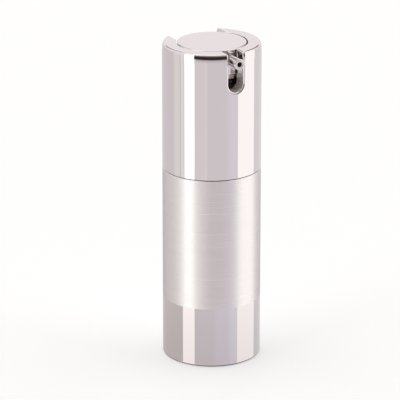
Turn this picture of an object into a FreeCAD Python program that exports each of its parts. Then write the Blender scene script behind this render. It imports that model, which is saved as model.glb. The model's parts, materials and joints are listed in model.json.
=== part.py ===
import FreeCAD, Part
import math
import os

from FreeCAD import Vector

# Airless pump bottle of 30 ml, in millimetres
# The axis is Z, the foot stands on z = 0 and the nozzle points to -Y

# Outside of the body
OUTER_DIAMETER = 32.5
BASE_BAND_HEIGHT = 20.4
SLEEVE_HEIGHT = 44.65
COLLAR_GAP = 0.3
FOOT_ROUND = 0.6
SLEEVE_BEVEL = 0.15

# Walls of the body, from the outside in
SLEEVE_WALL = 0.45
SLEEVE_CLEARANCE = 0.03
SHELL_WALL = 1.5
BOTTLE_CLEARANCE = 0.25
BOTTLE_WALL = 1.0

# Plug in the foot
PLUG_RECESS = 0.5
PLUG_HEIGHT = 3.5
PLUG_PLATE = 1.4
PLUG_RIM = 1.5
PLUG_LEDGE = 0.7
PLUG_CLEARANCE = 0.04
VENT_DIAMETER = 2.0

# Reservoir: hanging flange, shoulder and neck
HANGER_THICKNESS = 1.2
HANGER_CLEARANCE = 0.3
SHOULDER_RISE = 11.35
SHOULDER_WIDTH = 3.1
SHOULDER_SLOPE = 30.0
SHOULDER_THICKNESS = 1.2
NECK_WALL = 1.5
NECK_LENGTH = 9.5

# Follower piston
FOLLOWER_HEIGHT = 13.0
FOLLOWER_WALL = 0.9
FOLLOWER_CLEARANCE = 0.05
FOLLOWER_FOOT_GAP = 0.3
FOLLOWER_HEAD_GAP = 0.3
LIP_HEIGHT = 2.2
LIP_UNDERCUT = 0.5
DECK_DROP = 2.4
WELL_CLEARANCE = 0.8
WELL_MARGIN = 0.4

# Screw ring
RING_TOP = 1.5
RING_WALL = 1.2
RING_FOOT_CLEARANCE = 2.1
RING_RIB_RISE = 2.0
RING_RIBS = 12
RING_RIB_WIDTH = 1.2
RING_CLEARANCE = 0.03
THREAD_DEPTH = 1.1
TURN_CLEARANCE = 0.1

# Collar
COLLAR_WALL = 1.2
COLLAR_PLATE = 1.3
RIM_WIDTH = 4.5
RIM_ROUND = 0.7
RIM_LEAN_RADIUS = 12.0
RIM_LEAN_ANGLE = 12.0
RIM_BORE_BEVEL = 0.15
GUIDE_RELIEF = 0.1
GUIDE_WALL = 0.95
STOP_RIB_WIDTH = 1.2
STOP_RIB_STEP = 30.0
STOP_RIBS_PER_SIDE = 4
SNAP_BEAD = 0.35
SNAP_BEAD_HEIGHT = 0.8

# Slot for the nozzle and notch for the finger
SLOT_SIDE_CLEARANCE = 0.85
SLOT_RUNOUT = 2.45
SLOT_EDGE_ROUND = 0.6
NOTCH_WIDTH = 18.2
NOTCH_EXTRA_DEPTH = 1.0
NOTCH_CORNER = 2.0
NOTCH_EDGE_ROUND = 0.3
CUT_WALL = 1.2

# Button
STROKE = 5.5
BUTTON_GAP = 0.38
BUTTON_PLATE = 1.2
BUTTON_EDGE_ROUND = 0.3
SKIRT_HEIGHT = 9.9
SKIRT_STEP = 0.32
SKIRT_WALL = 1.0
SKIRT_FLOOR_CLEARANCE = 2.3
WEB_SIDE_CLEARANCE = 0.35
WEB_CLEARANCE = 0.15
WEB_RISE = 1.3
WEB_ROUND = 0.3

# Nozzle
NOZZLE_DIAMETER = 3.7
NOZZLE_REACH = 1.95
NOZZLE_WALL = 0.6
NOZZLE_TIP_ROUND = 0.3
NOZZLE_CLEARANCE = 0.05
SHANK_STEP = 0.6
SHANK_LENGTH = 3.8
SHANK_CLEARANCE = 0.02
OUTLET_DIAMETER = 1.7
BUSH_LENGTH = 2.5
BUSH_RECESS = 0.15
BUSH_CLEARANCE = 0.02

# Core of the button
CORE_CLEARANCE = 0.05
CORE_PLATE = 1.35
CORE_ROOF = 0.7
BOSS_WALL = 0.75
HUB_FLOOR = 0.35
HUB_MARGIN = 0.65
SOCKET_WALL = 1.0
SOCKET_CLEARANCE = 0.02
SOCKET_END_CLEARANCE = 0.5
STEM_STOP = 0.5

# Pump housing and its cap
FLANGE_THICKNESS = 1.5
FLANGE_CLEARANCE = 0.4
GASKET_THICKNESS = 1.0
CHAMBER_WALL = 1.1
CAP_PLUG_LENGTH = 2.5
CAP_PLUG_CLEARANCE = 0.03
CAP_SHOULDER = 2.6
CAP_FLANGE = 1.2
CAP_OVERLAP = 1.5
CAP_TURN_CLEARANCE = 0.2

# Rod, stem and piston of the pump
ROD_DIAMETER = 3.4
ROD_CLEARANCE = 0.05
ROD_FIT = 0.02
ROD_GRIP = 3.6
ROD_BORE = 1.8
PORT_DIAMETER = 1.2
PORT_HEIGHT = 1.4
STEM_WALL = 0.68
STEM_BORE = 2.4
STEM_CLEARANCE = 0.08
PISTON_HEIGHT = 5.0
PISTON_TOP_GAP = 0.3
PISTON_CLEARANCE = 0.04
PISTON_SLEEVE_WALL = 0.85
PISTON_FLUTE = 0.46
PISTON_LIP = 0.7
PISTON_WEB = 1.0
VALVE_RELIEF = 0.4
VALVE_RELIEF_HEIGHT = 2.6
VALVE_GAP = 0.02
LOST_MOTION = 0.75
HEAD_MARGIN = 0.1
HEAD_HEIGHT = 2.0
HEAD_BEVEL = 0.5

# Inlet valve
BALL_DIAMETER = 4.0
BALL_ROOM = 0.6
BALL_LIFT = 0.8
BALL_CLEARANCE = 0.03
LIFT_MARGIN = 0.1
CAGE_GAP = 0.3
CAGE_THICKNESS = 0.7
CAGE_FINGERS = 3
CAGE_FINGER_WIDTH = 1.1
CAGE_FINGER_OVERLAP = 0.6
CAGE_CLEARANCE = 0.03
SEAT_LAND = 0.12
INLET_LENGTH = 2.0
INLET_WALL = 1.3

# Spring
SPRING_WIRE = 0.7
SPRING_ROOM = 0.63
SPRING_TURNS = 5.5
SPRING_CLEARANCE = 0.05
SPANS_PER_TURN = 4

# Two lengths closer than this are the same
NEAR = 1e-3

# Radii of the body and the reservoir, from the outside in
outer_r = OUTER_DIAMETER / 2
sleeve_in_r = outer_r - SLEEVE_WALL
shell_out_r = sleeve_in_r - SLEEVE_CLEARANCE
shell_in_r = shell_out_r - SHELL_WALL
plug_bore_r = shell_in_r + PLUG_LEDGE
bottle_out_r = shell_in_r - BOTTLE_CLEARANCE
bottle_in_r = bottle_out_r - BOTTLE_WALL
follower_r = bottle_in_r - FOLLOWER_CLEARANCE
neck_out_r = bottle_out_r - SHOULDER_WIDTH
neck_in_r = neck_out_r - NECK_WALL

# Radii and widths of the head, from the outside in
collar_in_r = outer_r - COLLAR_WALL
hanger_r = collar_in_r - HANGER_CLEARANCE
ring_out_r = collar_in_r - RING_CLEARANCE
ring_in_r = neck_out_r + THREAD_DEPTH
flange_r = ring_in_r - FLANGE_CLEARANCE
rim_lean = math.radians(RIM_LEAN_ANGLE)
rim_top_r = outer_r - RIM_LEAN_RADIUS * (1 - math.cos(rim_lean)) - RIM_ROUND * math.cos(rim_lean)
rim_bore_r = outer_r - RIM_WIDTH
guide_in_r = rim_bore_r + GUIDE_RELIEF
guide_out_r = guide_in_r + GUIDE_WALL
button_r = rim_bore_r - BUTTON_GAP
skirt_out_r = button_r - SKIRT_STEP
skirt_in_r = skirt_out_r - SKIRT_WALL
core_r = skirt_in_r - CORE_CLEARANCE
nozzle_r = NOZZLE_DIAMETER / 2
shank_r = nozzle_r - SHANK_STEP
bush_bore_r = nozzle_r - NOZZLE_WALL
outlet_r = OUTLET_DIAMETER / 2
boss_r = shank_r + BOSS_WALL
slot_half = nozzle_r + SLOT_SIDE_CLEARANCE
web_half = slot_half - WEB_SIDE_CLEARANCE
web_face = math.sqrt((guide_in_r - WEB_CLEARANCE) ** 2 - web_half**2)

# Radii of the pump, from the rod out
rod_r = ROD_DIAMETER / 2
piston_bore_r = rod_r + ROD_CLEARANCE
piston_sleeve_r = piston_bore_r + PISTON_SLEEVE_WALL
piston_lip_r = piston_sleeve_r + PISTON_FLUTE + PISTON_LIP
chamber_r = piston_lip_r + PISTON_CLEARANCE
chamber_out_r = chamber_r + CHAMBER_WALL
cap_hole_r = chamber_out_r + CAP_SHOULDER
cap_flange_r = cap_hole_r + CAP_OVERLAP
head_r = piston_sleeve_r + HEAD_MARGIN
stem_grip_r = rod_r + ROD_FIT
stem_r = stem_grip_r + STEM_WALL
socket_in_r = stem_r + SOCKET_CLEARANCE
socket_out_r = socket_in_r + SOCKET_WALL
wire_r = SPRING_WIRE / 2
spring_r = socket_out_r + SPRING_ROOM + wire_r
hub_r = spring_r + wire_r + HUB_MARGIN
ball_r = BALL_DIAMETER / 2
ball_room_r = ball_r + BALL_ROOM
finger_r = ball_r - CAGE_FINGER_OVERLAP
inlet_r = ball_r / math.sqrt(2) - SEAT_LAND

# Heights from the foot up to the top of the button
plug_top = PLUG_RECESS + PLUG_HEIGHT
shell_top = BASE_BAND_HEIGHT + SLEEVE_HEIGHT
collar_bottom = shell_top + COLLAR_GAP
neck_base = shell_top + SHOULDER_RISE
neck_top = neck_base + NECK_LENGTH
flange_under = neck_top + GASKET_THICKNESS
flange_top = flange_under + FLANGE_THICKNESS
ring_under = flange_top + TURN_CLEARANCE
ring_top = ring_under + RING_TOP
ring_end = neck_base + RING_FOOT_CLEARANCE
ring_rib_end = ring_end + RING_RIB_RISE
skirt_bottom = ring_top + SKIRT_FLOOR_CLEARANCE + STROKE
button_top = skirt_bottom + SKIRT_HEIGHT
rim_round_low = button_top - RIM_ROUND * (1 - math.sin(rim_lean))
rim_lean_low = rim_round_low - RIM_LEAN_RADIUS * math.sin(rim_lean)

# Heights of the button's core, the nozzle and the cuts in the collar, from the top down
core_top = button_top - BUTTON_PLATE - CORE_CLEARANCE
nozzle_z = core_top - CORE_ROOF - shank_r
hub_bottom = nozzle_z - boss_r - HUB_FLOOR
stem_top = hub_bottom - STEM_STOP
slot_floor = nozzle_z - STROKE - nozzle_r - SLOT_RUNOUT
guide_bottom = slot_floor - CUT_WALL
notch_floor = button_top - STROKE - NOTCH_EXTRA_DEPTH

# Heights of the cap and of the end of the stem's socket when the button is up
cap_flange_under = ring_top + TURN_CLEARANCE
cap_top = cap_flange_under + CAP_FLANGE
socket_bottom = cap_top + STROKE + SOCKET_END_CLEARANCE

# Heights inside the pump, from the cap down
cap_plug_end = flange_top - CAP_PLUG_LENGTH
piston_top = cap_plug_end - PISTON_TOP_GAP
piston_bottom = piston_top - PISTON_HEIGHT
stem_bottom = piston_top + LOST_MOTION + VALVE_GAP
head_top = piston_bottom - VALVE_GAP
head_bottom = head_top - HEAD_HEIGHT
cage_top = head_bottom - STROKE - CAGE_GAP
cage_bottom = cage_top - CAGE_THICKNESS
ball_z = cage_bottom - math.sqrt(ball_r**2 - finger_r**2) - BALL_LIFT - LIFT_MARGIN
seat_apex = ball_z - BALL_CLEARANCE - ball_r * math.sqrt(2)
seat_low = seat_apex + inlet_r
seat_high = seat_apex + ball_room_r
housing_bottom = seat_low - INLET_LENGTH


def shoulder_z(radius):
    """Height of the outside of the shoulder at a radius."""
    return neck_base - (radius - neck_out_r) * math.tan(math.radians(SHOULDER_SLOPE))


# Heights of the follower piston, which rises until its lip is below the shoulder
follower_bottom = plug_top + FOLLOWER_FOOT_GAP
follower_top = follower_bottom + FOLLOWER_HEIGHT
follower_travel = shoulder_z(bottle_in_r) - SHOULDER_THICKNESS - FOLLOWER_HEAD_GAP - follower_top
well_r = chamber_out_r + WELL_CLEARANCE
well_floor = housing_bottom - follower_travel - WELL_MARGIN


def turned(points, curves=None):
    """Solid of revolution about Z from (radius, height) points, closed by a straight line or by curves."""
    corners = [Vector(radius, 0, height) for radius, height in points]
    closing = curves or [Part.makeLine(corners[-1], corners[0])]
    outline = Part.Wire(Part.makePolygon(corners).Edges + closing)
    return Part.Face(outline).revolve(Vector(0, 0, 0), Vector(0, 0, 1), 360)


def tube(inner, outer, low, high):
    """Upright tube."""
    return turned([(inner, low), (outer, low), (outer, high), (inner, high)])


def disc(radius, low, high):
    """Upright cylinder."""
    return Part.makeCylinder(radius, high - low, Vector(0, 0, low))


def block(half_width, near, far, low, high):
    """Box centred on x = 0 that runs from near to far along Y."""
    corner = Vector(-half_width, min(near, far), low)
    return Part.makeBox(2 * half_width, abs(far - near), high - low, corner)


def spoke(width, low, high):
    """Upright plate along +X from the axis to beyond the outer wall."""
    return Part.makeBox(2 * outer_r, width, high - low, Vector(0, -width / 2, low))


def forward(radius, near, far):
    """Cylinder on the nozzle's axis, from one distance to another from the bottle's axis."""
    return Part.makeCylinder(radius, far - near, Vector(0, -near, nozzle_z), Vector(0, -1, 0))


def laid_forward(shape):
    """Turned shape laid from the Z axis onto the nozzle's axis."""
    laid = shape.copy()
    laid.rotate(Vector(0, 0, 0), Vector(1, 0, 0), 90)
    laid.translate(Vector(0, 0, nozzle_z))
    return laid


def around(shape, count, step, start=0.0):
    """Copies of a shape turned about Z."""
    copies = []
    for index in range(count):
        copy = shape.copy()
        copy.rotate(Vector(0, 0, 0), Vector(0, 0, 1), start + index * step)
        copies.append(copy)
    return copies


def round_edges(shape, radius, chosen):
    """Fillet the edges that the test picks."""
    return shape.makeFillet(radius, [edge for edge in shape.Edges if chosen(edge)])


def bevel_edges(shape, size, chosen):
    """Chamfer the edges that the test picks."""
    return shape.makeChamfer(size, [edge for edge in shape.Edges if chosen(edge)])


def is_ring(edge, radius, height):
    """True for a level circle about Z of this radius at this height."""
    curve = edge.Curve
    if not isinstance(curve, Part.Circle) or abs(curve.Axis.z) < 1 - NEAR:
        return False
    placed = (curve.Center - Vector(0, 0, height)).Length < NEAR
    return placed and abs(curve.Radius - radius) < NEAR


def outer_shell():
    """Plated outer bottle: a full band at the foot, a step, and a thinner wall under the sleeve."""
    shell = turned([
        (plug_bore_r, 0),
        (outer_r, 0),
        (outer_r, BASE_BAND_HEIGHT),
        (shell_out_r, BASE_BAND_HEIGHT),
        (shell_out_r, shell_top),
        (shell_in_r, shell_top),
        (shell_in_r, plug_top),
        (plug_bore_r, plug_top),
    ])
    return round_edges(shell, FOOT_ROUND, lambda edge: is_ring(edge, outer_r, 0))


def base_plug():
    """Vented plug in the foot, open below, which carries the reservoir."""
    rim_r = plug_bore_r - PLUG_CLEARANCE
    vent_r = VENT_DIAMETER / 2
    return turned([
        (vent_r, plug_top - PLUG_PLATE),
        (rim_r - PLUG_RIM, plug_top - PLUG_PLATE),
        (rim_r - PLUG_RIM, PLUG_RECESS),
        (rim_r, PLUG_RECESS),
        (rim_r, plug_top),
        (vent_r, plug_top),
    ])


def body_sleeve():
    """Brushed sleeve that stands on the step of the shell, with a bevel at the collar."""
    sleeve = tube(sleeve_in_r, outer_r, BASE_BAND_HEIGHT, shell_top)
    return bevel_edges(sleeve, SLEEVE_BEVEL, lambda edge: is_ring(edge, outer_r, shell_top))


def inner_bottle():
    """Reservoir: it stands on the plug, hangs by its flange on the shell and ends in the neck."""
    return turned([
        (bottle_in_r, plug_top),
        (bottle_out_r, plug_top),
        (bottle_out_r, shell_top),
        (hanger_r, shell_top),
        (hanger_r, shell_top + HANGER_THICKNESS),
        (bottle_out_r, shell_top + HANGER_THICKNESS),
        (bottle_out_r, shoulder_z(bottle_out_r)),
        (neck_out_r, neck_base),
        (neck_out_r, neck_top),
        (neck_in_r, neck_top),
        (neck_in_r, shoulder_z(neck_in_r) - SHOULDER_THICKNESS),
        (bottle_in_r, shoulder_z(bottle_in_r) - SHOULDER_THICKNESS),
    ])


def follower_piston():
    """Follower: two wiping lips on a sleeve, a deck, and a well that takes in the end of the pump."""
    sleeve_r = follower_r - LIP_UNDERCUT
    deck_top = follower_top - DECK_DROP
    return turned([
        (0, well_floor - FOLLOWER_WALL),
        (well_r + FOLLOWER_WALL, well_floor - FOLLOWER_WALL),
        (well_r + FOLLOWER_WALL, deck_top - FOLLOWER_WALL),
        (sleeve_r - FOLLOWER_WALL, deck_top - FOLLOWER_WALL),
        (sleeve_r - FOLLOWER_WALL, follower_bottom),
        (follower_r, follower_bottom),
        (sleeve_r, follower_bottom + LIP_HEIGHT),
        (sleeve_r, follower_top - LIP_HEIGHT),
        (follower_r, follower_top),
        (sleeve_r - FOLLOWER_WALL, deck_top),
        (well_r, deck_top),
        (well_r, well_floor),
        (0, well_floor),
    ])


def arc_up(radius, center_r, center_z, first, last):
    """Arc in the plane of the turned outlines, from one angle above the level to another, in degrees."""
    center = Vector(center_r, 0, center_z)
    angles = [math.radians(angle) for angle in (first, (first + last) / 2, last)]
    points = [center + Vector(math.cos(angle), 0, math.sin(angle)) * radius for angle in angles]
    return Part.Arc(*points).toShape()


def collar_walls():
    """Outer wall, top plate and inner guide wall of the collar, with the bead that holds the ring."""
    plate_under = button_top - COLLAR_PLATE
    bead_top = ring_rib_end - TURN_CLEARANCE
    rim_edge = [
        arc_up(RIM_LEAN_RADIUS, outer_r - RIM_LEAN_RADIUS, rim_lean_low, 0, RIM_LEAN_ANGLE),
        arc_up(RIM_ROUND, rim_top_r, button_top - RIM_ROUND, RIM_LEAN_ANGLE, 90),
    ]
    walls = turned([
        (rim_top_r, button_top),
        (rim_bore_r, button_top),
        (rim_bore_r, plate_under),
        (guide_in_r, plate_under),
        (guide_in_r, guide_bottom),
        (guide_out_r, guide_bottom),
        (guide_out_r, plate_under),
        (collar_in_r, plate_under),
        (collar_in_r, bead_top),
        (collar_in_r - SNAP_BEAD, bead_top - SNAP_BEAD_HEIGHT / 2),
        (collar_in_r, bead_top - SNAP_BEAD_HEIGHT),
        (collar_in_r, collar_bottom),
        (outer_r, collar_bottom),
        (outer_r, rim_lean_low),
    ], rim_edge)
    return bevel_edges(walls, RIM_BORE_BEVEL, lambda edge: is_ring(edge, rim_bore_r, button_top))


def collar_filling():
    """What joins the two walls: a block round the slot, one round the notch, and ribs that stop the ring."""
    plate_under = button_top - COLLAR_PLATE
    between = tube(guide_out_r - GUIDE_WALL / 2, collar_in_r + COLLAR_WALL / 2, ring_top, plate_under)
    slot_block = block(slot_half + CUT_WALL, 0, -outer_r, guide_bottom, button_top)
    notch_block = block(NOTCH_WIDTH / 2 + CUT_WALL, 0, outer_r, notch_floor - CUT_WALL, button_top)
    rib = spoke(STOP_RIB_WIDTH, ring_top, button_top)
    first = STOP_RIB_STEP * STOP_RIBS_PER_SIDE / 2
    right = around(rib, STOP_RIBS_PER_SIDE, STOP_RIB_STEP, -first)
    left = around(rib, STOP_RIBS_PER_SIDE, -STOP_RIB_STEP, 180 + first)
    return between.common(slot_block.fuse([notch_block] + right + left))


def slot_cut():
    """Slot for the nozzle: parallel sides, round floor, open at the top."""
    floor_center = slot_floor + slot_half
    straight = block(slot_half, -button_r, -2 * outer_r, floor_center, 2 * button_top)
    end = forward(slot_half, button_r, 2 * outer_r)
    end.translate(Vector(0, 0, floor_center - nozzle_z))
    return straight.fuse(end)


def notch_cut():
    """Notch for the finger: parallel sides, flat floor with round corners."""
    cut = block(NOTCH_WIDTH / 2, 0, 2 * outer_r, notch_floor, 2 * button_top)

    def floor_corner(edge):
        along = abs(edge.tangentAt(edge.FirstParameter).y) > 1 - NEAR
        return along and abs(edge.CenterOfMass.z - notch_floor) < NEAR

    return round_edges(cut, NOTCH_CORNER, floor_corner)


def on_outside(edge):
    """True for an edge on the top face, the rounded rim or the outer wall of the collar."""
    points = edge.discretize(5)
    outer = all(math.hypot(point.x, point.y) > rim_top_r - NEAR for point in points)
    return outer or all(point.z > button_top - NEAR for point in points)


def slot_edge(edge):
    """True for an outside edge of the slot."""
    box = edge.BoundBox
    return box.YMax < 0 and max(-box.XMin, box.XMax) < slot_half + NEAR and on_outside(edge)


def notch_edge(edge):
    """True for an outside edge of the notch."""
    box = edge.BoundBox
    return box.YMin > 0 and max(-box.XMin, box.XMax) < NOTCH_WIDTH / 2 + NEAR and on_outside(edge)


def collar():
    """Plated head shell with the slot in front and the notch behind."""
    shape = collar_walls().fuse(collar_filling()).cut([slot_cut(), notch_cut()]).removeSplitter()
    shape = round_edges(shape, SLOT_EDGE_ROUND, slot_edge)
    return round_edges(shape, NOTCH_EDGE_ROUND, notch_edge)


def screw_ring():
    """Closure: top flange, thread sleeve, and outer ribs that press into the collar."""
    sleeve_r = ring_in_r + RING_WALL
    ring = turned([
        (cap_hole_r, ring_under),
        (ring_in_r, ring_under),
        (ring_in_r, ring_end),
        (sleeve_r, ring_end),
        (sleeve_r, ring_under),
        (ring_out_r, ring_under),
        (ring_out_r, ring_top),
        (cap_hole_r, ring_top),
    ])
    room = tube(sleeve_r - RING_WALL / 2, ring_out_r, ring_rib_end, ring_under + RING_TOP / 2)
    bar = spoke(RING_RIB_WIDTH, ring_rib_end, ring_top)
    ribs = [room.common(rib) for rib in around(bar, RING_RIBS, 360 / RING_RIBS)]
    return ring.fuse(ribs).removeSplitter()


def neck_gasket():
    """Flat ring between the top of the neck and the flange of the pump."""
    return tube(neck_in_r, neck_out_r, neck_top, flange_under)


def pump_housing():
    """Housing: flange on the gasket, chamber, and a narrower end with the ball seat and the inlet."""
    end_out_r = ball_room_r + CHAMBER_WALL
    return turned([
        (inlet_r, housing_bottom),
        (inlet_r + INLET_WALL, housing_bottom),
        (inlet_r + INLET_WALL, seat_low),
        (end_out_r, seat_high),
        (end_out_r, cage_bottom - CHAMBER_WALL),
        (chamber_out_r, cage_bottom),
        (chamber_out_r, flange_under),
        (flange_r, flange_under),
        (flange_r, flange_top),
        (chamber_r, flange_top),
        (chamber_r, cage_bottom),
        (ball_room_r, cage_bottom),
        (ball_room_r, seat_high),
        (inlet_r, seat_low),
    ])


def housing_cap():
    """Cap: plug in the chamber, sleeve through the ring, and the flange that seats the spring."""
    guide_r = stem_r + STEM_CLEARANCE
    plug_r = chamber_r - CAP_PLUG_CLEARANCE
    sleeve_r = cap_hole_r - CAP_TURN_CLEARANCE
    return turned([
        (guide_r, cap_plug_end),
        (plug_r, cap_plug_end),
        (plug_r, flange_top),
        (sleeve_r, flange_top),
        (sleeve_r, cap_flange_under),
        (cap_flange_r, cap_flange_under),
        (cap_flange_r, cap_top),
        (guide_r, cap_top),
    ])


def inlet_ball():
    """Steel ball over the inlet."""
    return Part.makeSphere(ball_r, Vector(0, 0, ball_z))


def ball_cage():
    """Ring on the floor of the chamber, with fingers that stop the ball."""
    cage = tube(ball_room_r, chamber_r - CAGE_CLEARANCE, cage_bottom, cage_top)
    room = tube(finger_r, (ball_room_r + chamber_r) / 2, cage_bottom, cage_top)
    bar = spoke(CAGE_FINGER_WIDTH, cage_bottom, cage_top)
    fingers = [room.common(finger) for finger in around(bar, CAGE_FINGERS, 360 / CAGE_FINGERS)]
    return cage.fuse(fingers).removeSplitter()


def pump_piston():
    """Piston: a sleeve that slides on the rod, a web, and two lips that wipe the chamber."""
    lip_in_r = piston_lip_r - PISTON_LIP
    waist_r = piston_lip_r - PISTON_LIP / 2
    relief_r = piston_bore_r + VALVE_RELIEF
    relief_top = piston_bottom + VALVE_RELIEF_HEIGHT
    middle = (piston_top + piston_bottom) / 2
    return turned([
        (relief_r, piston_bottom),
        (piston_sleeve_r, piston_bottom),
        (piston_sleeve_r, middle - PISTON_WEB / 2),
        (lip_in_r, piston_bottom),
        (piston_lip_r, piston_bottom),
        (piston_lip_r, piston_bottom + PISTON_LIP),
        (waist_r, middle),
        (piston_lip_r, piston_top - PISTON_LIP),
        (piston_lip_r, piston_top),
        (lip_in_r, piston_top),
        (piston_sleeve_r, middle + PISTON_WEB / 2),
        (piston_sleeve_r, piston_top),
        (piston_bore_r, piston_top),
        (piston_bore_r, relief_top),
        (relief_r, relief_top),
    ])


def piston_rod():
    """Rod: valve head below the piston, bored shank with a cross port, pressed into the stem."""
    rod_top = stem_bottom + ROD_GRIP
    rod = turned([
        (0, head_bottom),
        (head_r - HEAD_BEVEL, head_bottom),
        (head_r, head_bottom + HEAD_BEVEL),
        (head_r, head_top),
        (rod_r, head_top),
        (rod_r, rod_top),
        (0, rod_top),
    ])
    port_z = head_top + PORT_HEIGHT
    bore = disc(ROD_BORE / 2, port_z, rod_top)
    port_start = Vector(-ROD_DIAMETER, 0, port_z)
    port = Part.makeCylinder(PORT_DIAMETER / 2, 2 * ROD_DIAMETER, port_start, Vector(1, 0, 0))
    return rod.cut([bore, port])


def pump_stem():
    """Hollow stem from the rod up into the socket of the core."""
    return turned([
        (stem_grip_r, stem_bottom),
        (stem_r, stem_bottom),
        (stem_r, stem_top),
        (STEM_BORE / 2, stem_top),
        (STEM_BORE / 2, stem_bottom + ROD_GRIP),
        (stem_grip_r, stem_bottom + ROD_GRIP),
    ])


def tangent_arc(start, corner, end):
    """Arc from start to end whose tangents meet at the corner."""
    middle = (start + end) * 0.5
    half_chord = (end - start).Length / 2
    half_angle = math.acos(half_chord / (corner - start).Length)
    sagitta = half_chord * math.tan(half_angle / 2)
    toward = (corner - middle).normalize()
    return Part.Arc(start, middle + toward * sagitta, end).toShape()


def spring_path(low, height):
    """Helix as pairs of tangent arcs, a few pairs to the turn, with its first point and direction."""
    climb = height / (2 * math.pi * SPRING_TURNS)
    spans = round(SPRING_TURNS * SPANS_PER_TURN)
    step = 2 * math.pi * SPRING_TURNS / spans

    def point(angle):
        return Vector(spring_r * math.cos(angle), spring_r * math.sin(angle), low + climb * angle)

    def tangent(angle):
        return Vector(-spring_r * math.sin(angle), spring_r * math.cos(angle), climb).normalize()

    edges = []
    for index in range(spans):
        first = index * step
        last = first + step
        chord = point(last) - point(first)
        reach = chord.dot(tangent(first) + tangent(last))
        spread = 2 * (1 - tangent(first).dot(tangent(last)))
        length = (math.sqrt(reach**2 + spread * chord.dot(chord)) - reach) / spread
        near_corner = point(first) + tangent(first) * length
        far_corner = point(last) - tangent(last) * length
        joint = (near_corner + far_corner) * 0.5
        edges.append(tangent_arc(point(first), near_corner, joint))
        edges.append(tangent_arc(joint, far_corner, point(last)))
    return Part.Wire(edges), point(0), tangent(0)


def pump_spring():
    """Return spring round the socket, from the cap up to the hub of the core."""
    low = cap_top + SPRING_CLEARANCE + wire_r
    height = hub_bottom - SPRING_CLEARANCE - wire_r - low
    path, start, direction = spring_path(low, height)
    section = Part.Wire(Part.makeCircle(wire_r, start, direction))
    print(f"spring: {height / SPRING_TURNS - SPRING_WIRE:.2f} mm between turns")
    return path.makePipeShell([section], True, False)


def actuator_button():
    """Plated button: plate, stepped skirt, web below the nozzle and the hole that the nozzle passes."""
    plate_under = button_top - BUTTON_PLATE
    button = turned([
        (0, plate_under),
        (skirt_in_r, plate_under),
        (skirt_in_r, skirt_bottom),
        (skirt_out_r, skirt_bottom),
        (skirt_out_r, plate_under),
        (button_r, plate_under),
        (button_r, button_top),
        (0, button_top),
    ])
    button = round_edges(button, BUTTON_EDGE_ROUND, lambda edge: is_ring(edge, button_r, button_top))
    web_back = skirt_out_r - SKIRT_WALL / 2
    web = block(web_half, -web_back, -web_face, skirt_bottom + WEB_RISE, nozzle_z)

    def web_edge(edge):
        middle = edge.CenterOfMass
        return abs(middle.y + web_face) < NEAR and middle.z < nozzle_z - NEAR

    web = round_edges(web, WEB_ROUND, web_edge)
    passage = forward(nozzle_r + NOZZLE_CLEARANCE, skirt_in_r - SKIRT_WALL / 2, outer_r)
    return button.fuse(web).cut(passage).removeSplitter()


def actuator_core():
    """Core of the button: plate, hub for the spring, socket for the stem and channel to the nozzle."""
    core = turned([
        (0, hub_bottom),
        (socket_in_r, hub_bottom),
        (socket_in_r, socket_bottom),
        (socket_out_r, socket_bottom),
        (socket_out_r, hub_bottom),
        (hub_r, hub_bottom),
        (hub_r, core_top - CORE_PLATE),
        (core_r, core_top - CORE_PLATE),
        (core_r, core_top),
        (0, core_top),
    ])
    boss = forward(boss_r, 0, outer_r).common(disc(core_r, hub_bottom, core_top))
    channel = forward(outlet_r, 0, outer_r)
    shank_hole = forward(shank_r + SHANK_CLEARANCE, skirt_in_r - SHANK_LENGTH, outer_r)
    riser = disc(STEM_BORE / 2, stem_top, nozzle_z)
    return core.fuse(boss).cut([channel, shank_hole, riser]).removeSplitter()


def nozzle():
    """Nozzle: barrel with a rounded tip, counterbore for the bush, and a shank pressed into the core."""
    tip = outer_r + NOZZLE_REACH
    shank_end = skirt_in_r - SHANK_LENGTH
    bush_end = tip - BUSH_RECESS - BUSH_LENGTH
    barrel = turned([
        (outlet_r, shank_end),
        (shank_r, shank_end),
        (shank_r, skirt_in_r),
        (nozzle_r, skirt_in_r),
        (nozzle_r, tip),
        (bush_bore_r, tip),
        (bush_bore_r, bush_end),
        (outlet_r, bush_end),
    ])
    tip_round = min(NOZZLE_TIP_ROUND, NOZZLE_WALL / 2)
    barrel = round_edges(barrel, tip_round, lambda edge: is_ring(edge, nozzle_r, tip))
    return laid_forward(barrel)


def nozzle_bush():
    """Ring with the outlet hole, set back a little in the end of the barrel."""
    face = outer_r + NOZZLE_REACH - BUSH_RECESS
    return laid_forward(tube(outlet_r, bush_bore_r - BUSH_CLEARANCE, face - BUSH_LENGTH, face))


PIECES = [
    outer_shell,
    base_plug,
    body_sleeve,
    inner_bottle,
    follower_piston,
    collar,
    screw_ring,
    neck_gasket,
    pump_housing,
    housing_cap,
    inlet_ball,
    ball_cage,
    pump_piston,
    piston_rod,
    pump_stem,
    pump_spring,
    actuator_button,
    actuator_core,
    nozzle,
    nozzle_bush,
]


def main():
    os.makedirs("parts", exist_ok=True)
    for piece in PIECES:
        shape = piece()
        if not shape.isValid() or len(shape.Solids) != 1:
            raise ValueError(f"{piece.__name__} is not one valid solid")
        shape.Solids[0].exportStep(f"parts/{piece.__name__}.step")
    swept = math.pi * bottle_in_r**2 * follower_travel / 1000
    print(f"height {button_top:.2f} mm, follower travel {follower_travel:.2f} mm, {swept:.1f} ml")


main()
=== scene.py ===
import json
import math
from collections import namedtuple

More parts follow.
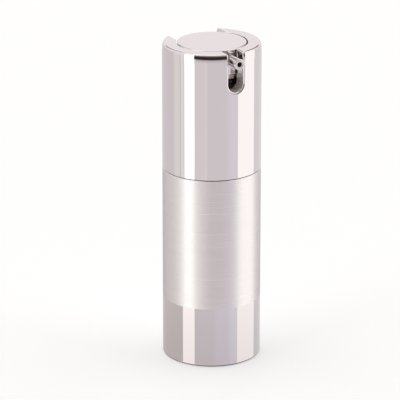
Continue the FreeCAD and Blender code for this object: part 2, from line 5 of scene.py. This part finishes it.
import bmesh
import bpy
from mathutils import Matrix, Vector


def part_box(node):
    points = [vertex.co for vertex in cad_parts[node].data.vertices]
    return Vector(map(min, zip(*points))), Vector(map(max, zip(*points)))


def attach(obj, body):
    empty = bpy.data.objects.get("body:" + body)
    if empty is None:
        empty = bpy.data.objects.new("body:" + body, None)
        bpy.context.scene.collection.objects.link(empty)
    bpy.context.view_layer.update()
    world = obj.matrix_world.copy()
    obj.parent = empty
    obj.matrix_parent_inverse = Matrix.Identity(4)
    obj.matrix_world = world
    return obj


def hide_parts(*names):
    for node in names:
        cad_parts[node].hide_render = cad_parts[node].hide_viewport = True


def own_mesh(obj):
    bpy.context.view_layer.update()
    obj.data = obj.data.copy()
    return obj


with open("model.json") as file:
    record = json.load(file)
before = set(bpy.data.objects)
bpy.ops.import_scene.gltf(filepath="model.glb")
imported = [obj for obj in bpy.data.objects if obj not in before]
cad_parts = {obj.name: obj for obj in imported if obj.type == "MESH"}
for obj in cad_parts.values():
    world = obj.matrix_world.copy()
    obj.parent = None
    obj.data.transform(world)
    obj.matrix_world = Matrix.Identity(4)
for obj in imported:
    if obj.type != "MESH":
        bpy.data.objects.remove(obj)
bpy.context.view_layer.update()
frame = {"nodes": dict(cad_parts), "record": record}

# Camera, placed about the bottle's axis, in metres; the lens and sensor are in millimetres
CAMERA_AZIMUTH = math.radians(-29.6)
CAMERA_DISTANCE = 0.9281
CAMERA_HEIGHT = 0.3812
CAMERA_PITCH = math.radians(19.4746)
CAMERA_YAW = math.radians(0.237)
CAMERA_LENS = 267.8
CAMERA_SENSOR = 36.0

# Floor and backdrop
FLOOR_SIZE = 8.0
FLOOR_COLOUR = (0.75, 0.75, 0.75, 1)
FLOOR_FILL = 0.36
WHITE = (1, 1, 1, 1)

# What stands round the bottle, each panel laid over those before it, in degrees to the right of the
# camera and up from the horizon, with the softness of its edges sideways and upward
Panel = namedtuple("Panel", "light sideways upward soft")
GREY_TABLE = (0.74, 0.715, 0.735, 1)
STUDIO = {
    "far left card": Panel((0.715, 0.695, 0.71, 1), (-190, -100), (-95, 0), (3, 6)),
    "paper on the left": Panel((0.835, 0.82, 0.8, 1), (-97, -66), (-20.3, 0), (4, 1)),
    "fold in the paper": Panel((0.64, 0.63, 0.61, 1), (-78.6, -76.4), (-20.3, 0), (0.7, 1)),
    "bright side of the fold": Panel((0.91, 0.9, 0.875, 1), (-75.6, -70.4), (-20.3, 0), (0.9, 1)),
    "warm card": Panel((0.79, 0.76, 0.765, 1), (-42, -10.5), (-20.3, 0), (1.5, 1)),
    "edge of the warm card": Panel((0.83, 0.8, 0.79, 1), (-15.2, -11.4), (-20.3, 0), (0.8, 1)),
    "lilac card": Panel((0.8, 0.78, 0.84, 1), (40, 66), (-95, 0), (12, 6)),
    "foot of the left card": Panel((0.683, 0.657, 0.639, 1), (-190, -66), (-95, -20.3), (3, 1)),
    "foot of the lilac card": Panel((0.79, 0.755, 0.82, 1), (8, 66), (-95, -20.3), (7, 1)),
    "pale end of the lilac card": Panel((0.85, 0.85, 0.91, 1), (44, 66), (-95, -20.3), (10, 1)),
    "far right card": Panel((0.79, 0.79, 0.8, 1), (112, 190), (-95, 0), (1.5, 6)),
    "near side of the table": Panel((0.93, 0.89, 0.89, 1), (-40, 60), (-37, -26), (3, 1.5)),
    "lit table on the left": Panel((1.5, 1.5, 1.46, 1), (-86, -14), (-36, -24), (6, 1)),
    "backdrop": Panel((0.96, 0.93, 0.93, 1), (-190, 190), (0, 95), (1, 6)),
    "strip lamp": Panel((1.62, 1.7, 1.66, 1), (-65.7, -40.6), (-95, 30), (0.7, 1)),
    "foot of the strip lamp": Panel((1.3, 1.28, 1.25, 1), (-71.5, -40.6), (-95, -19.6), (0.7, 0.8)),
    "soft box": Panel((1.21, 1.21, 1.18, 1), (63.6, 116), (-95, 40), (1, 1)),
    "foot of the soft box": Panel((1.21, 1.21, 1.18, 1), (110, 120.5), (-95, -19.6), (1, 0.8)),
    "lit table on the right": Panel((1.33, 1.31, 1.29, 1), (62, 116), (-36, -24), (3, 1)),
    "ceiling": Panel((1.3, 1.3, 1.3, 1), (-190, 190), (55, 95), (1, 3)),
    "far side of the table": Panel((0.5, 0.48, 0.48, 1), (-38, 48), (-8, 10), (3, 6)),
    "upper room": Panel((0.36, 0.33, 0.32, 1), (-41, 62), (4, 74), (1.5, 2)),
    "dark room": Panel((0.04, 0.03, 0.025, 1), (-41, 62), (-3.5, 12), (1.5, 1)),
    "dark corner on the left": Panel((0.4, 0.38, 0.38, 1), (-170, -136), (22, 52), (2, 2)),
    "dark corner on the right": Panel((0.06, 0.05, 0.05, 1), (142, 168), (20, 46), (2, 2)),
}

# Share of the light that is left on the table near the bottle, and the angles between which it falls off
FALL_OFF = 0.8
FALL_OFF_ANGLES = (-23.2, -20.2)

# Colours of the materials, each varying between two
PLATING = ((0.79, 0.735, 0.74, 1), (0.81, 0.755, 0.76, 1))
ALUMINIUM = ((0.865, 0.815, 0.815, 1), (0.955, 0.905, 0.905, 1))
ALUMINIUM_AT_GRAZING = (0.75, 0.72, 0.72, 1)
POLYPROPYLENE = ((0.86, 0.86, 0.83, 1), (0.9, 0.9, 0.88, 1))
POLYETHYLENE = ((0.77, 0.8, 0.78, 1), (0.83, 0.85, 0.83, 1))
FOAM = ((0.87, 0.87, 0.85, 1), (0.8, 0.8, 0.78, 1))
STEEL = ((0.58, 0.58, 0.59, 1), (0.66, 0.66, 0.67, 1))

# What shows where there is no plating, and how rough it is; the dark colour is painted shade, put in the
# nozzle's outlet and along the foot's edge
BARE_MOULDING = (0.85, 0.8, 0.76, 1)
PAINTED_SHADE_COLOUR = (0.2, 0.18, 0.18, 1)
BARE_ROUGHNESS = 0.5

# Places without plating, in metres, and how bare the slot is near its floor; then the outlet and the foot's
# edge, which get painted shade
COLLAR_INSIDE_RADIUS = 0.01515
COLLAR_PLATE_UNDER = 0.10645
SLOT_HALF = 0.00275
SLOT_BACK = 0.0115
SLOT_EDGE_RADIUS = 0.0156
SLOT_BARE_TOP = 0.1
SLOT_BARE = 0.7
NOTCH_HALF = 0.00915
NOTCH_FLOOR = 0.10115
OUTLET_RADIUS = 0.00088
FOOT_EDGE_TOP = 0.0005

# Return spring, in metres
SPRING_WIRE = 0.0007
SPRING_TURNS = 5.5
SPRING_END_TURNS = 0.75
SPRING_STEPS = 36
SPRING_SIDES = 10


def add(tree, kind, values=None, **settings):
    """New shader node. Each value goes to the input of that name or number, as a constant or a link."""
    made = tree.nodes.new("ShaderNode" + kind)
    for name, setting in settings.items():
        setattr(made, name, setting)
    for name, value in (values or {}).items():
        if isinstance(value, bpy.types.NodeSocket):
            tree.links.new(value, made.inputs[name])
        else:
            made.inputs[name].default_value = value
    return made.outputs


def calc(tree, operation, first, second=0.0):
    """Result of a sum on one or two numbers."""
    return add(tree, "Math", {0: first, 1: second}, operation=operation)[0]


def below(tree, value, limit):
    """1 where a value is less than its limit."""
    return calc(tree, "LESS_THAN", value, limit)


def above(tree, value, limit):
    """1 where a value is more than its limit."""
    return calc(tree, "GREATER_THAN", value, limit)


def all_of(tree, *tests):
    """1 where all the tests are 1."""
    found = tests[0]
    for test in tests[1:]:
        found = calc(tree, "MULTIPLY", found, test)
    return found


def length(tree, across, along):
    """Length of a line from its two sides at right angles."""
    line = add(tree, "CombineXYZ", {0: across, 1: along})[0]
    return add(tree, "VectorMath", {0: line}, operation="LENGTH")["Value"]


def mix(tree, share, first, second):
    """Colour between two colours."""
    return add(tree, "Mix", {0: share, 6: first, 7: second}, data_type="RGBA")[2]


def scaled(tree, colour, amount):
    """Colour made darker by an amount."""
    return add(tree, "VectorMath", {0: colour, "Scale": amount}, operation="SCALE")[0]


def ramp(tree, value, low, high, to_low, to_high):
    """Value carried from one range to another, with soft ends."""
    limits = {"Value": value, "From Min": low, "From Max": high, "To Min": to_low, "To Max": to_high}
    return add(tree, "MapRange", limits, interpolation_type="SMOOTHSTEP")[0]


def band(tree, angle, low, high, soft):
    """1 where an angle lies between two limits, in degrees, with soft edges."""
    rise = ramp(tree, angle, math.radians(low - soft), math.radians(low + soft), 0, 1)
    fall = ramp(tree, angle, math.radians(high - soft), math.radians(high + soft), 1, 0)
    return calc(tree, "MULTIPLY", rise, fall)


def noise(tree, place, scale, detail, roughness=0.5):
    """Noise from 0 to 1 at a place."""
    values = {"Vector": place, "Scale": scale, "Detail": detail, "Roughness": roughness}
    return add(tree, "TexNoise", values)["Fac"]


def stretched(tree, place, across, along):
    """Place whose X and Y are scaled by one factor and Z by another."""
    return add(tree, "Mapping", {"Vector": place, "Scale": (across, across, along)})[0]


def bump(tree, height, strength, distance):
    """Normal from a height."""
    return add(tree, "Bump", {"Height": height, "Strength": strength, "Distance": distance})["Normal"]


def surroundings(tree):
    """What the bottle reflects, by direction from the camera's side."""
    facing = add(tree, "TexCoord")["Generated"]
    turn = {"Vector": facing, "Angle": -CAMERA_AZIMUTH}
    turned = add(tree, "VectorRotate", turn, rotation_type="Z_AXIS")[0]
    x, y, z = add(tree, "SeparateXYZ", {0: turned})
    azimuth = calc(tree, "ARCTAN2", x, calc(tree, "MULTIPLY", y, -1.0))
    elevation = calc(tree, "ARCSINE", z)
    colour = GREY_TABLE
    for panel in STUDIO.values():
        across = band(tree, azimuth, *panel.sideways, panel.soft[0])
        up = band(tree, elevation, *panel.upward, panel.soft[1])
        colour = mix(tree, calc(tree, "MULTIPLY", across, up), colour, panel.light)
    low, high = (math.radians(angle) for angle in FALL_OFF_ANGLES)
    return scaled(tree, colour, ramp(tree, elevation, low, high, FALL_OFF, 1))


def studio_world():
    """Surroundings that light the bottle, and a plain white behind it for the camera."""
    world = bpy.data.worlds.new("studio")
    bpy.context.scene.world = world
    world.use_nodes = True
    tree = world.node_tree
    tree.nodes.clear()
    light = add(tree, "Background", {"Color": surroundings(tree), "Strength": 1.0})[0]
    behind = add(tree, "Background", {"Color": WHITE, "Strength": 1.0})[0]
    seen = add(tree, "LightPath")["Is Camera Ray"]
    shown = add(tree, "MixShader", {0: seen, 1: light, 2: behind})[0]
    add(tree, "OutputWorld", {"Surface": shown})


def studio_floor():
    """Pale floor that takes the bottle's soft shadow and is nearly as white as the backdrop to the camera."""
    mesh = bpy.data.meshes.new("floor")
    half = FLOOR_SIZE / 2
    corners = [(-half, -half, 0), (half, -half, 0), (half, half, 0), (-half, half, 0)]
    mesh.from_pydata(corners, [], [(0, 1, 2, 3)])
    floor = bpy.data.objects.new("floor", mesh)
    bpy.context.scene.collection.objects.link(floor)
    floor.visible_glossy = False
    material, tree = new_material("floor")
    seen = add(tree, "LightPath")["Is Camera Ray"]
    matt = add(tree, "BsdfDiffuse", {"Color": FLOOR_COLOUR})[0]
    fill = add(tree, "Emission", {"Color": WHITE, "Strength": calc(tree, "MULTIPLY", seen, FLOOR_FILL)})[0]
    add(tree, "OutputMaterial", {"Surface": add(tree, "AddShader", {0: matt, 1: fill})[0]})
    mesh.materials.append(material)


def studio_camera():
    """Camera at the photograph's place and angle."""
    data = bpy.data.cameras.new("camera")
    data.lens = CAMERA_LENS
    data.sensor_width = CAMERA_SENSOR
    data.clip_end = 2 * FLOOR_SIZE
    camera = bpy.data.objects.new("camera", data)
    bpy.context.scene.collection.objects.link(camera)
    across = CAMERA_DISTANCE * math.sin(CAMERA_AZIMUTH)
    forward = -CAMERA_DISTANCE * math.cos(CAMERA_AZIMUTH)
    camera.location = (across, forward, CAMERA_HEIGHT)
    camera.rotation_euler = (math.pi / 2 - CAMERA_PITCH, 0, CAMERA_AZIMUTH + CAMERA_YAW)
    bpy.context.scene.camera = camera


def new_material(name):
    """Empty node material and its tree."""
    material = bpy.data.materials.new(name)
    material.use_nodes = True
    tree = material.node_tree
    tree.nodes.clear()
    return material, tree


def place_on_object(tree):
    """Place on the object, in metres."""
    return add(tree, "TexCoord")["Object"]


def finish_material(tree, values):
    """Main shader of a material, with its values."""
    shader = add(tree, "BsdfPrincipled", values)
    add(tree, "OutputMaterial", {"Surface": shader["BSDF"]})


def collar_inside(tree, place):
    """1 on the inside of the collar, less low in the slot, and 0 in the notch, which is plated through."""
    x, y, z = add(tree, "SeparateXYZ", {0: place})
    side = calc(tree, "ABSOLUTE", x)
    radius = length(tree, x, y)
    wall = all_of(tree, below(tree, radius, COLLAR_INSIDE_RADIUS), below(tree, z, COLLAR_PLATE_UNDER))
    slot = all_of(tree, below(tree, side, SLOT_HALF), below(tree, y, -SLOT_BACK))
    notch = all_of(tree, below(tree, side, NOTCH_HALF), above(tree, y, 0.0), above(tree, z, NOTCH_FLOOR))
    away = calc(tree, "SUBTRACT", 1.0, calc(tree, "MAXIMUM", slot, notch))
    low_slot = all_of(tree, slot, below(tree, z, SLOT_BARE_TOP), below(tree, radius, SLOT_EDGE_RADIUS))
    return calc(tree, "MAXIMUM", all_of(tree, wall, away), calc(tree, "MULTIPLY", low_slot, SLOT_BARE))


def outlet_bore(tree, place):
    """1 inside the outlet of the nozzle, which gets painted shade."""
    low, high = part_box("nozzle")
    x, _, z = add(tree, "SeparateXYZ", {0: place})
    rise = calc(tree, "SUBTRACT", z, (low.z + high.z) / 2)
    return below(tree, length(tree, x, rise), OUTLET_RADIUS)


def foot_edge(tree, place):
    """1 on the edge that the bottle stands on, which gets painted shade."""
    z = add(tree, "SeparateXYZ", {0: place})[2]
    return below(tree, z, FOOT_EDGE_TOP)


def mirror_plating(name, bare_or_shade_share=None, bare_or_shade_colour=BARE_MOULDING):
    """Bright plating on moulded plastic: a faint rose tint, slight haze and the mould's slow waviness; where
    a share is given, it gives way to bare moulding, or to painted shade at the outlet and the foot.
    """
    material, tree = new_material(name)
    place = place_on_object(tree)
    haze = noise(tree, place, scale=160.0, detail=4.0)
    wave = noise(tree, place, scale=45.0, detail=1.0)
    # Share of bare moulding inside the collar, or of painted shade at the outlet and the foot's edge
    bare_or_shade = bare_or_shade_share(tree, place) if bare_or_shade_share else 0.0
    polish = ramp(tree, haze, low=0.35, high=0.7, to_low=0.015, to_high=0.035)
    finish_material(tree, {
        "Base Color": mix(tree, bare_or_shade, mix(tree, haze, *PLATING), bare_or_shade_colour),
        "Metallic": calc(tree, "SUBTRACT", 1.0, bare_or_shade),
        "Roughness": calc(tree, "MAXIMUM", polish, calc(tree, "MULTIPLY", bare_or_shade, BARE_ROUGHNESS)),
        "Normal": bump(tree, wave, strength=0.05, distance=0.0002),
    })
    return material


def brushed_aluminium():
    """Anodised tube with fine brush marks round it, which draw the highlights out along the axis."""
    material, tree = new_material("brushed_aluminium")
    place = place_on_object(tree)
    fine_place = stretched(tree, place, across=30.0, along=9000.0)
    coarse_place = stretched(tree, place, across=12.0, along=1800.0)
    fine = noise(tree, fine_place, scale=1.0, detail=2.0, roughness=0.6)
    coarse = noise(tree, coarse_place, scale=1.0, detail=2.0, roughness=0.6)
    marks = calc(tree, "ADD", calc(tree, "MULTIPLY", fine, 0.7), calc(tree, "MULTIPLY", coarse, 0.3))
    finish_material(tree, {
        "Base Color": mix(tree, marks, *ALUMINIUM),
        "Metallic": 1.0,
        "Specular Tint": ALUMINIUM_AT_GRAZING,
        "Roughness": ramp(tree, marks, low=0.3, high=0.7, to_low=0.26, to_high=0.44),
        "Anisotropic": 0.38,
        "Anisotropic Rotation": 0.25,
        "Tangent": add(tree, "Tangent", direction_type="RADIAL", axis="Z")[0],
        "Normal": bump(tree, marks, strength=0.13, distance=0.00002),
    })
    return material


def white_polypropylene():
    """White moulded plastic with a satin grain."""
    material, tree = new_material("white_polypropylene")
    place = place_on_object(tree)
    grain = noise(tree, place, scale=2500.0, detail=3.0)
    cloud = noise(tree, place, scale=120.0, detail=2.0)
    finish_material(tree, {
        "Base Color": mix(tree, cloud, *POLYPROPYLENE),
        "Roughness": ramp(tree, grain, low=0.3, high=0.7, to_low=0.38, to_high=0.5),
        "Subsurface Weight": 0.1,
        "Subsurface Radius": (0.002, 0.002, 0.002),
        "Normal": bump(tree, grain, strength=0.08, distance=0.00003),
    })
    return material


def natural_polyethylene():
    """Uncoloured soft plastic, a little waxy."""
    material, tree = new_material("natural_polyethylene")
    cloud = noise(tree, place_on_object(tree), scale=200.0, detail=3.0)
    finish_material(tree, {
        "Base Color": mix(tree, cloud, *POLYETHYLENE),
        "Roughness": ramp(tree, cloud, low=0.3, high=0.7, to_low=0.3, to_high=0.42),
        "Subsurface Weight": 0.3,
        "Subsurface Radius": (0.003, 0.003, 0.003),
    })
    return material


def gasket_foam():
    """Sealing foam with closed cells."""
    material, tree = new_material("gasket_foam")
    cells = add(tree, "TexVoronoi", {"Vector": place_on_object(tree), "Scale": 4000.0})["Distance"]
    finish_material(tree, {
        "Base Color": mix(tree, cells, *FOAM),
        "Roughness": 0.8,
        "Normal": bump(tree, cells, strength=0.3, distance=0.00005),
    })
    return material


def spring_steel():
    """Bright drawn steel."""
    material, tree = new_material("spring_steel")
    place = stretched(tree, place_on_object(tree), across=900.0, along=900.0)
    drawn = noise(tree, place, scale=1.0, detail=3.0)
    finish_material(tree, {
        "Base Color": mix(tree, drawn, *STEEL),
        "Metallic": 1.0,
        "Roughness": ramp(tree, drawn, low=0.3, high=0.7, to_low=0.18, to_high=0.3),
    })
    return material


def all_materials():
    """A material for each slot of the record, and one of their own for the nodes that are bare or carry
    painted shade in places.
    """
    # The nozzle's outlet and the foot's edge get the dark painted shade colour
    outlet = mirror_plating("mirror_plating_nozzle_painted_shade", outlet_bore, PAINTED_SHADE_COLOUR)
    return {
        "mirror_plating": mirror_plating("mirror_plating"),
        "collar": mirror_plating("mirror_plating_collar", collar_inside),
        "outer_shell": mirror_plating("mirror_plating_foot_painted_shade", foot_edge, PAINTED_SHADE_COLOUR),
        "nozzle": outlet,
        "nozzle_bush": outlet,
        "brushed_aluminium": brushed_aluminium(),
        "white_polypropylene": white_polypropylene(),
        "natural_polyethylene": natural_polyethylene(),
        "gasket_foam": gasket_foam(),
        "spring_steel": spring_steel(),
    }


def dress_nodes(materials):
    """Give each node its own material, or the material of its slot in the record."""
    for entry in frame["record"]["subparts"]:
        name = entry["node"]
        material = materials.get(name) or materials[entry["material_slot"]]
        for slot in frame["nodes"][name].material_slots:
            slot.material = material


def spring_height(turn, low, high):
    """Height of the wire's middle after some turns: close turns at both ends, open ones between."""
    close = SPRING_END_TURNS * SPRING_WIRE
    open_turns = SPRING_TURNS - 2 * SPRING_END_TURNS
    pitch = (high - low - 2 * close) / open_turns
    first = min(turn, SPRING_END_TURNS)
    middle = min(max(turn - SPRING_END_TURNS, 0), open_turns)
    last = max(turn - SPRING_END_TURNS - open_turns, 0)
    return low + (first + last) * SPRING_WIRE + middle * pitch


def wire_ring(mesh, turn, radius, height):
    """Ring of corners round the wire after some turns."""
    angle = 2 * math.pi * turn
    outward = Vector((math.cos(angle), math.sin(angle), 0))
    middle = outward * radius + Vector((0, 0, height))
    ring = []
    for side in range(SPRING_SIDES):
        around = 2 * math.pi * side / SPRING_SIDES
        offset = outward * math.cos(around) + Vector((0, 0, math.sin(around)))
        ring.append(mesh.verts.new(middle + offset * SPRING_WIRE / 2))
    return ring


def spring_mesh(low, high):
    """Wire wound between the two corners of a box, closed at both ends."""
    wire = SPRING_WIRE / 2
    mesh = bmesh.new()
    rings = []
    for step in range(round(SPRING_TURNS * SPRING_STEPS) + 1):
        turn = step / SPRING_STEPS
        height = spring_height(turn, low.z + wire, high.z - wire)
        rings.append(wire_ring(mesh, turn, high.x - wire, height))
    for near, far in zip(rings, rings[1:]):
        for side in range(SPRING_SIDES):
            after = (side + 1) % SPRING_SIDES
            mesh.faces.new((near[side], near[after], far[after], far[side]))
    mesh.faces.new(rings[0])
    mesh.faces.new(reversed(rings[-1]))
    bmesh.ops.recalc_face_normals(mesh, faces=mesh.faces)
    for face in mesh.faces:
        face.smooth = len(face.verts) == 4
    data = bpy.data.meshes.new("return_spring")
    mesh.to_mesh(data)
    mesh.free()
    return data


def return_spring(material):
    """Spring with closed ends in the place of its solid, which it hides; it is attached to the pump's body.
    """
    low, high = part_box("pump_spring")
    data = spring_mesh(low, high)
    data.materials.append(material)
    spring = bpy.data.objects.new("return_spring", data)
    bpy.context.scene.collection.objects.link(spring)
    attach(spring, "pump")
    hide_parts("pump_spring")
    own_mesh(spring)


def main():
    bpy.context.scene.view_settings.view_transform = "Standard"
    materials = all_materials()
    dress_nodes(materials)
    return_spring(materials["spring_steel"])
    studio_world()
    studio_floor()
    studio_camera()


main()
